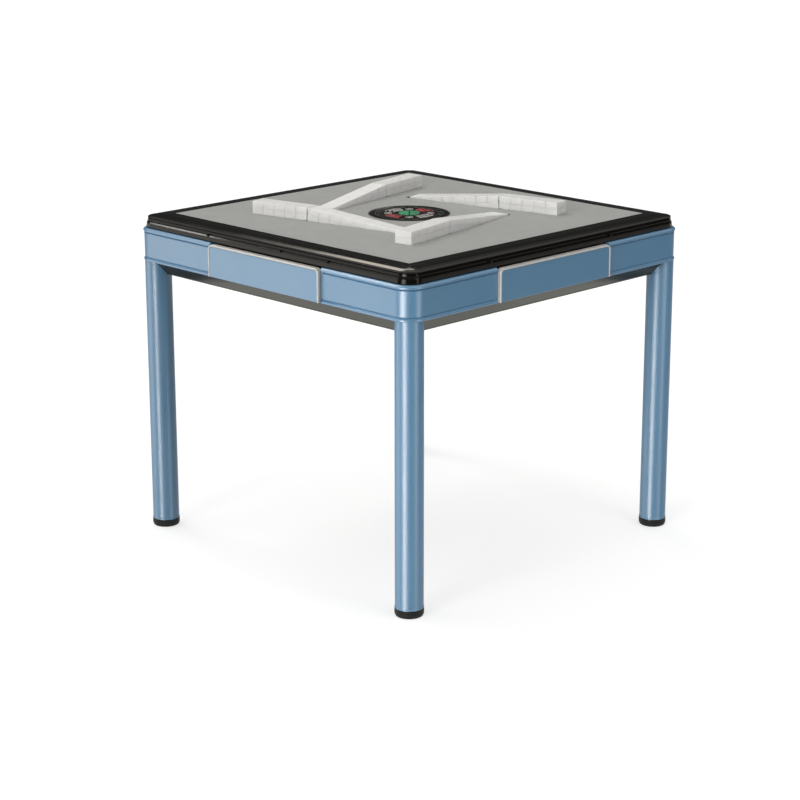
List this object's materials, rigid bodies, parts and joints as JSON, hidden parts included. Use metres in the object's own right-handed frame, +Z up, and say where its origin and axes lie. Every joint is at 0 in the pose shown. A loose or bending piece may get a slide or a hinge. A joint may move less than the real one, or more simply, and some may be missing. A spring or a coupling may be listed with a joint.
{
  "type": "mahjong table",
  "caption": "Square automatic mahjong table with round legs, a sliding drawer in each side, tile walls on lifting ramps and a rising control disc in the middle.",
  "frame": {"origin": "on the floor under the middle of the table", "axes": "+Z up, +X and +Y square to two of the sides"},
  "size_m": [0.912, 0.912, 0.7894],
  "materials": {
    "blue_paint": "satin blue paint",
    "blue_panel": "satin blue",
    "black_gloss": "black gloss",
    "black_matte": "matte black",
    "tray_grey": "satin grey paint",
    "chassis": "dark paint",
    "steel": "bright zinc",
    "board": "bare fibreboard",
    "cloth": "grey felt",
    "trim": "polished",
    "drawer_box": "dark grey moulding",
    "tile": "polished white resin",
    "ramp": "dark anodised",
    "machine": "cast and turned",
    "drum": "moulded",
    "roller": "rubber tread",
    "circuit": "solder mask",
    "green_key": "gloss",
    "red_key": "gloss",
    "pale_key": "gloss"
  },
  "bodies": {
    "table": {"legs": "blue_paint", "foot_caps": "black_matte", "leg_sockets": "chassis", "frame_bolts": "steel", "chassis_rails": "chassis", "base_tray": "tray_grey", "skirt_corners": "blue_panel", "rim_rails": "black_gloss", "table_board": "board", "playing_cloth": "cloth", "table_tiles": "tile", "ramp_pins": "steel", "lift_actuators": "machine", "drawer_runners": "steel", "column_guide": "machine", "drum_motor": "machine", "wheel_motors": "machine", "power_supply": "machine", "control_board": "circuit", "power_inlet": "black_matte"},
    "drawer_south": {"drawer_box_south": "drawer_box", "drawer_front_south": "blue_panel", "drawer_trim_south": "trim"},
    "drawer_east": {"drawer_box_east": "drawer_box", "drawer_front_east": "blue_panel", "drawer_trim_east": "trim"},
    "drawer_north": {"drawer_box_north": "drawer_box", "drawer_front_north": "blue_panel", "drawer_trim_north": "trim"},
    "drawer_west": {"drawer_box_west": "drawer_box", "drawer_front_west": "blue_panel", "drawer_trim_west": "trim"},
    "ramp_south": {"lift_ramp_south": "ramp", "ramp_tiles_south": "tile"},
    "rod_south": {"lift_rod_south": "steel"},
    "ramp_east": {"lift_ramp_east": "ramp", "ramp_tiles_east": "tile"},
    "rod_east": {"lift_rod_east": "steel"},
    "ramp_north": {"lift_ramp_north": "ramp", "ramp_tiles_north": "tile"},
    "rod_north": {"lift_rod_north": "steel"},
    "ramp_west": {"lift_ramp_west": "ramp", "ramp_tiles_west": "tile"},
    "rod_west": {"lift_rod_west": "steel"},
    "control_disc": {"disc_housing": "black_matte", "disc_panel": "black_gloss"},
    "key_raise_body": {"key_raise": "green_key"},
    "key_dice_body": {"key_dice": "green_key"},
    "seat_key_south_body": {"seat_key_south": "red_key"},
    "seat_key_east_body": {"seat_key_east": "pale_key"},
    "seat_key_north_body": {"seat_key_north": "red_key"},
    "seat_key_west_body": {"seat_key_west": "pale_key"},
    "drum": {"shuffle_drum": "drum"},
    "roller": {"drive_roller": "roller"},
    "wheel_south": {"pickup_wheel_south": "drum"},
    "wheel_east": {"pickup_wheel_east": "drum"},
    "wheel_north": {"pickup_wheel_north": "drum"},
    "wheel_west": {"pickup_wheel_west": "drum"},
    "rocker": {"rocker_switch": "black_matte"}
  },
  "joints": [
    {"name": "drawer_south_slide", "type": "slide", "parent": "table", "child": "drawer_south", "axis": [0, -1, 0], "range_m": [0, 0.14]},
    {"name": "drawer_east_slide", "type": "slide", "parent": "table", "child": "drawer_east", "axis": [1, 0, 0], "range_m": [0, 0.14]},
    {"name": "drawer_north_slide", "type": "slide", "parent": "table", "child": "drawer_north", "axis": [0, 1, 0], "range_m": [0, 0.14]},
    {"name": "drawer_west_slide", "type": "slide", "parent": "table", "child": "drawer_west", "axis": [-1, 0, 0], "range_m": [0, 0.14]},
    {"name": "ramp_south_lift", "type": "hinge", "parent": "table", "child": "ramp_south", "pos_m": [-0.106, -0.208, 0.751], "axis": [0.2011, -0.9796, 0], "range_deg": [0, 6]},
    {"name": "rod_south_rise", "type": "slide", "parent": "table", "child": "rod_south", "axis": [0, 0, 1], "range_m": [0, 0.021]},
    {"name": "ramp_east_lift", "type": "hinge", "parent": "table", "child": "ramp_east", "pos_m": [0.208, -0.106, 0.751], "axis": [0.9796, 0.2011, 0], "range_deg": [0, 6]},
    {"name": "rod_east_rise", "type": "slide", "parent": "table", "child": "rod_east", "axis": [0, 0, 1], "range_m": [0, 0.021]},
    {"name": "ramp_north_lift", "type": "hinge", "parent": "table", "child": "ramp_north", "pos_m": [0.106, 0.208, 0.751], "axis": [-0.2011, 0.9796, 0], "range_deg": [0, 6]},
    {"name": "rod_north_rise", "type": "slide", "parent": "table", "child": "rod_north", "axis": [0, 0, 1], "range_m": [0, 0.021]},
    {"name": "ramp_west_lift", "type": "hinge", "parent": "table", "child": "ramp_west", "pos_m": [-0.208, 0.106, 0.751], "axis": [-0.9796, -0.2011, 0], "range_deg": [0, 6]},
    {"name": "rod_west_rise", "type": "slide", "parent": "table", "child": "rod_west", "axis": [0, 0, 1], "range_m": [0, 0.021]},
    {"name": "disc_rise", "type": "slide", "parent": "table", "child": "control_disc", "axis": [0, 0, 1], "range_m": [0, 0.055]},
    {"name": "key_raise_press", "type": "slide", "parent": "control_disc", "child": "key_raise_body", "axis": [0, 0, -1], "range_m": [0, 0.002], "stiffness_N_per_m": 300, "springref_m": -0.002},
    {"name": "key_dice_press", "type": "slide", "parent": "control_disc", "child": "key_dice_body", "axis": [0, 0, -1], "range_m": [0, 0.002], "stiffness_N_per_m": 300, "springref_m": -0.002},
    {"name": "seat_key_south_press", "type": "slide", "parent": "control_disc", "child": "seat_key_south_body", "axis": [0, 0, -1], "range_m": [0, 0.002], "stiffness_N_per_m": 300, "springref_m": -0.002},
    {"name": "seat_key_east_press", "type": "slide", "parent": "control_disc", "child": "seat_key_east_body", "axis": [0, 0, -1], "range_m": [0, 0.002], "stiffness_N_per_m": 300, "springref_m": -0.002},
    {"name": "seat_key_north_press", "type": "slide", "parent": "control_disc", "child": "seat_key_north_body", "axis": [0, 0, -1], "range_m": [0, 0.002], "stiffness_N_per_m": 300, "springref_m": -0.002},
    {"name": "seat_key_west_press", "type": "slide", "parent": "control_disc", "child": "seat_key_west_body", "axis": [0, 0, -1], "range_m": [0, 0.002], "stiffness_N_per_m": 300, "springref_m": -0.002},
    {"name": "drum_turn", "type": "hinge", "parent": "table", "child": "drum", "pos_m": [0, 0, 0.66], "axis": [0, 0, 1], "continuous": true},
    {"name": "roller_turn", "type": "hinge", "parent": "table", "child": "roller", "pos_m": [-0.02342, 0.16666, 0.655], "axis": [0, 0, 1], "continuous": true},
    {"name": "wheel_south_turn", "type": "hinge", "parent": "table", "child": "wheel_south", "pos_m": [-0.04095, -0.19669, 0.68], "axis": [0.9796, 0.2011, 0], "continuous": true},
    {"name": "wheel_east_turn", "type": "hinge", "parent": "table", "child": "wheel_east", "pos_m": [0.19669, -0.04095, 0.68], "axis": [-0.2011, 0.9796, 0], "continuous": true},
    {"name": "wheel_north_turn", "type": "hinge", "parent": "table", "child": "wheel_north", "pos_m": [0.04095, 0.19669, 0.68], "axis": [-0.9796, -0.2011, 0], "continuous": true},
    {"name": "wheel_west_turn", "type": "hinge", "parent": "table", "child": "wheel_west", "pos_m": [-0.19669, 0.04095, 0.68], "axis": [0.2011, -0.9796, 0], "continuous": true},
    {"name": "rocker_tip", "type": "hinge", "parent": "table", "child": "rocker", "pos_m": [0.012, 0.24, 0.6195], "axis": [0, -1, 0], "range_deg": [0, 10]}
  ],
  "couplings": [
    {"joint": "rod_south_rise", "follows": "ramp_south_lift", "m_per_rad": 0.2},
    {"joint": "rod_east_rise", "follows": "ramp_east_lift", "m_per_rad": 0.2},
    {"joint": "rod_north_rise", "follows": "ramp_north_lift", "m_per_rad": 0.2},
    {"joint": "rod_west_rise", "follows": "ramp_west_lift", "m_per_rad": 0.2},
    {"joint": "roller_turn", "follows": "drum_turn", "ratio": -8.3333}
  ]
}
